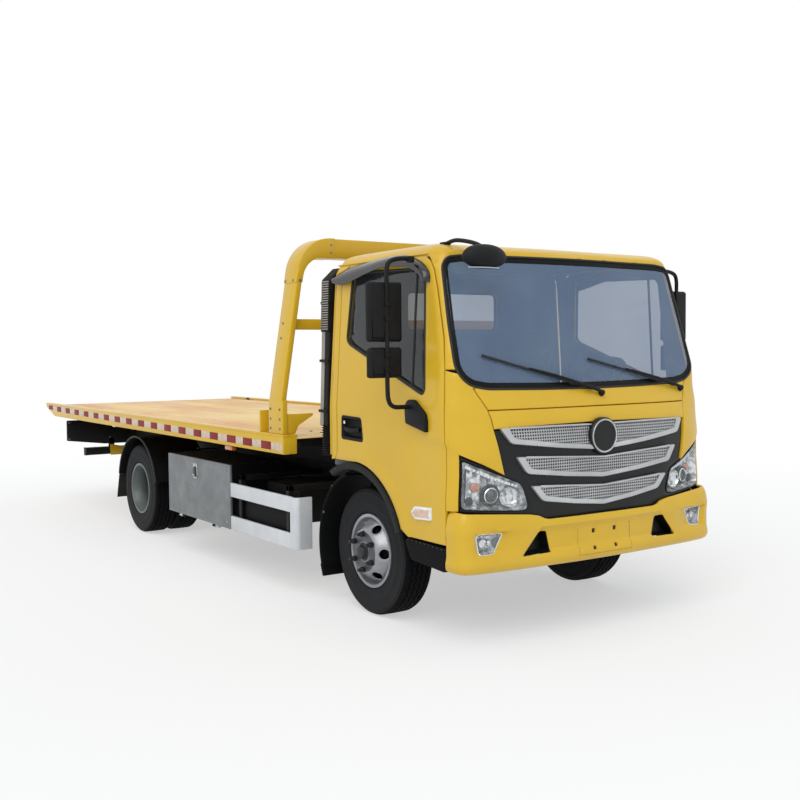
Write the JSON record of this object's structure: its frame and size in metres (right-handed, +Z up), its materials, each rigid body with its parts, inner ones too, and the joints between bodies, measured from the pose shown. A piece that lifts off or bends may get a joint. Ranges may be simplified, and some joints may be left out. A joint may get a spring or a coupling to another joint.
{
  "type": "flatbed recovery truck",
  "caption": "Forward control cab truck with a tilting, sliding flat recovery deck, a bolted gantry hoop and winch behind the cab, twin rear wheels, tool boxes and side guards.",
  "frame": {"origin": "middle of the bounding box on the ground", "axes": "+X forward, +Y to the truck's left, +Z up"},
  "size_m": [7.515, 2.596, 2.425],
  "materials": {
    "yellow_paint": "gloss yellow body paint",
    "black_steel": "semi gloss black chassis paint",
    "deck_plate": "worn yellow floor plate",
    "silver_wheel": "silver wheel paint",
    "galvanised": "bright sheet",
    "white_guard": "light grey paint",
    "tyre": "road tyre",
    "rod_chrome": "hard chrome rod",
    "clear_glass": "tinted window glass",
    "lamp_lens": "clear lamp lens",
    "black_plastic": "grained black plastic",
    "grille_black": "gloss black panel",
    "trim_grey": "cab trim",
    "cast": "cast and forged parts",
    "exhaust_steel": "heat stained steel"
  },
  "bodies": {
    "chassis": {"frame_rails": "black_steel", "frame_crossmembers": "black_steel", "driveline": "cast", "front_axle": "cast", "rear_axle": "cast", "leaf_springs": "cast", "front_bumper": "yellow_paint", "chassis_lamps": "lamp_lens", "front_steps": "black_plastic", "front_mudguards": "black_plastic", "rear_mudguards": "black_plastic", "toolboxes": "galvanised", "side_guards": "white_guard", "side_tanks": "black_steel", "exhaust": "exhaust_steel", "tail_panel": "black_steel", "cab_floor": "trim_grey", "cab_back_wall": "yellow_paint", "cab_roof": "yellow_paint", "cab_front": "yellow_paint", "cab_glass": "clear_glass", "grille": "grille_black", "headlamps": "lamp_lens", "cab_interior": "trim_grey", "arch_trims": "black_plastic", "kerb_mirror": "black_plastic", "air_intake": "black_plastic"},
    "knuckle_right": {"knuckle_right": "cast"},
    "knuckle_left": {"knuckle_left": "cast"},
    "wheel_front_right": {"tyre_front_right": "tyre", "rim_front_right": "silver_wheel"},
    "wheel_front_left": {"tyre_front_left": "tyre", "rim_front_left": "silver_wheel"},
    "wheel_rear_right": {"tyre_rear_right": "tyre", "rim_rear_right": "silver_wheel"},
    "wheel_rear_left": {"tyre_rear_left": "tyre", "rim_rear_left": "silver_wheel"},
    "door_right": {"door_right": "yellow_paint", "door_glass_right": "clear_glass", "mirror_right": "black_plastic"},
    "door_left": {"door_left": "yellow_paint", "door_glass_left": "clear_glass", "mirror_left": "black_plastic"},
    "steering_wheel": {"steering_wheel": "black_plastic"},
    "toolbox_door_right": {"toolbox_door_right": "galvanised"},
    "toolbox_door_left": {"toolbox_door_left": "galvanised"},
    "tilt_frame": {"tilt_frame": "black_steel"},
    "deck": {"deck_floor": "deck_plate", "deck_front_plate": "deck_plate", "deck_rails": "yellow_paint", "deck_runners": "black_steel", "deck_bearers": "black_steel", "slide_rod": "black_steel", "gantry": "yellow_paint", "winch": "black_steel"},
    "tilt_barrels": {"tilt_barrels": "black_steel"},
    "tilt_rods": {"tilt_rods": "rod_chrome"}
  },
  "joints": [
    {"name": "steer_right", "type": "hinge", "parent": "chassis", "child": "knuckle_right", "pos_m": [2.6275, -0.745, 0.402], "axis": [0, 0, 1], "range_deg": [-35, 35]},
    {"name": "steer_left", "type": "hinge", "parent": "chassis", "child": "knuckle_left", "pos_m": [2.6275, 0.745, 0.402], "axis": [0, 0, 1], "range_deg": [-36, 36]},
    {"name": "steering_wheel_turn", "type": "hinge", "parent": "chassis", "child": "steering_wheel", "pos_m": [3.2015, 0.48, 1.42], "axis": [-0.6515, 0, 0.7586], "range_deg": [-500, 500]},
    {"name": "wheel_front_right_spin", "type": "hinge", "parent": "knuckle_right", "child": "wheel_front_right", "pos_m": [2.6275, -0.825, 0.402], "axis": [0, 1, 0], "continuous": true},
    {"name": "wheel_front_left_spin", "type": "hinge", "parent": "knuckle_left", "child": "wheel_front_left", "pos_m": [2.6275, 0.825, 0.402], "axis": [0, 1, 0], "continuous": true},
    {"name": "wheel_rear_right_spin", "type": "hinge", "parent": "chassis", "child": "wheel_rear_right", "pos_m": [-1.1725, -0.8025, 0.402], "axis": [0, 1, 0], "continuous": true},
    {"name": "wheel_rear_left_spin", "type": "hinge", "parent": "chassis", "child": "wheel_rear_left", "pos_m": [-1.1725, 0.8025, 0.402], "axis": [0, 1, 0], "continuous": true},
    {"name": "door_right_hinge", "type": "hinge", "parent": "chassis", "child": "door_right", "pos_m": [3.5315, -1.01, 1], "axis": [0, 0, 1], "range_deg": [0, 65]},
    {"name": "door_left_hinge", "type": "hinge", "parent": "chassis", "child": "door_left", "pos_m": [3.5315, 1.01, 1], "axis": [0, 0, -1], "range_deg": [0, 65]},
    {"name": "toolbox_door_right_hinge", "type": "hinge", "parent": "chassis", "child": "toolbox_door_right", "pos_m": [0.3325, -1.089, 0.308], "axis": [1, 0, 0], "range_deg": [0, 90]},
    {"name": "toolbox_door_left_hinge", "type": "hinge", "parent": "chassis", "child": "toolbox_door_left", "pos_m": [0.3325, 1.089, 0.308], "axis": [-1, 0, 0], "range_deg": [0, 90]},
    {"name": "bed_tilt", "type": "hinge", "parent": "chassis", "child": "tilt_frame", "pos_m": [-3.0925, 0, 0.85], "axis": [0, -1, 0], "range_deg": [0, 16]},
    {"name": "bed_slide", "type": "slide", "parent": "tilt_frame", "child": "deck", "axis": [-1, 0, 0], "range_m": [0, 3]},
    {"name": "tilt_barrel_hinge", "type": "hinge", "parent": "chassis", "child": "tilt_barrels", "pos_m": [-1.2325, 0, 0.655], "axis": [0, 1, 0], "range_deg": [-0.5, 21.98]},
    {"name": "tilt_rod_slide", "type": "slide", "parent": "tilt_barrels", "child": "tilt_rods", "axis": [-0.9595, 0, 0.2818], "range_m": [-0.001, 0.2001]}
  ],
  "couplings": [
    {"joint": "steer_left", "follows": "steer_right", "ratio": 1},
    {"joint": "steering_wheel_turn", "follows": "steer_right", "ratio": 14},
    {"joint": "tilt_barrel_hinge", "follows": "bed_tilt", "ratio": 1.3427},
    {"joint": "tilt_rod_slide", "follows": "bed_tilt", "m_per_rad": 0.70936}
  ]
}
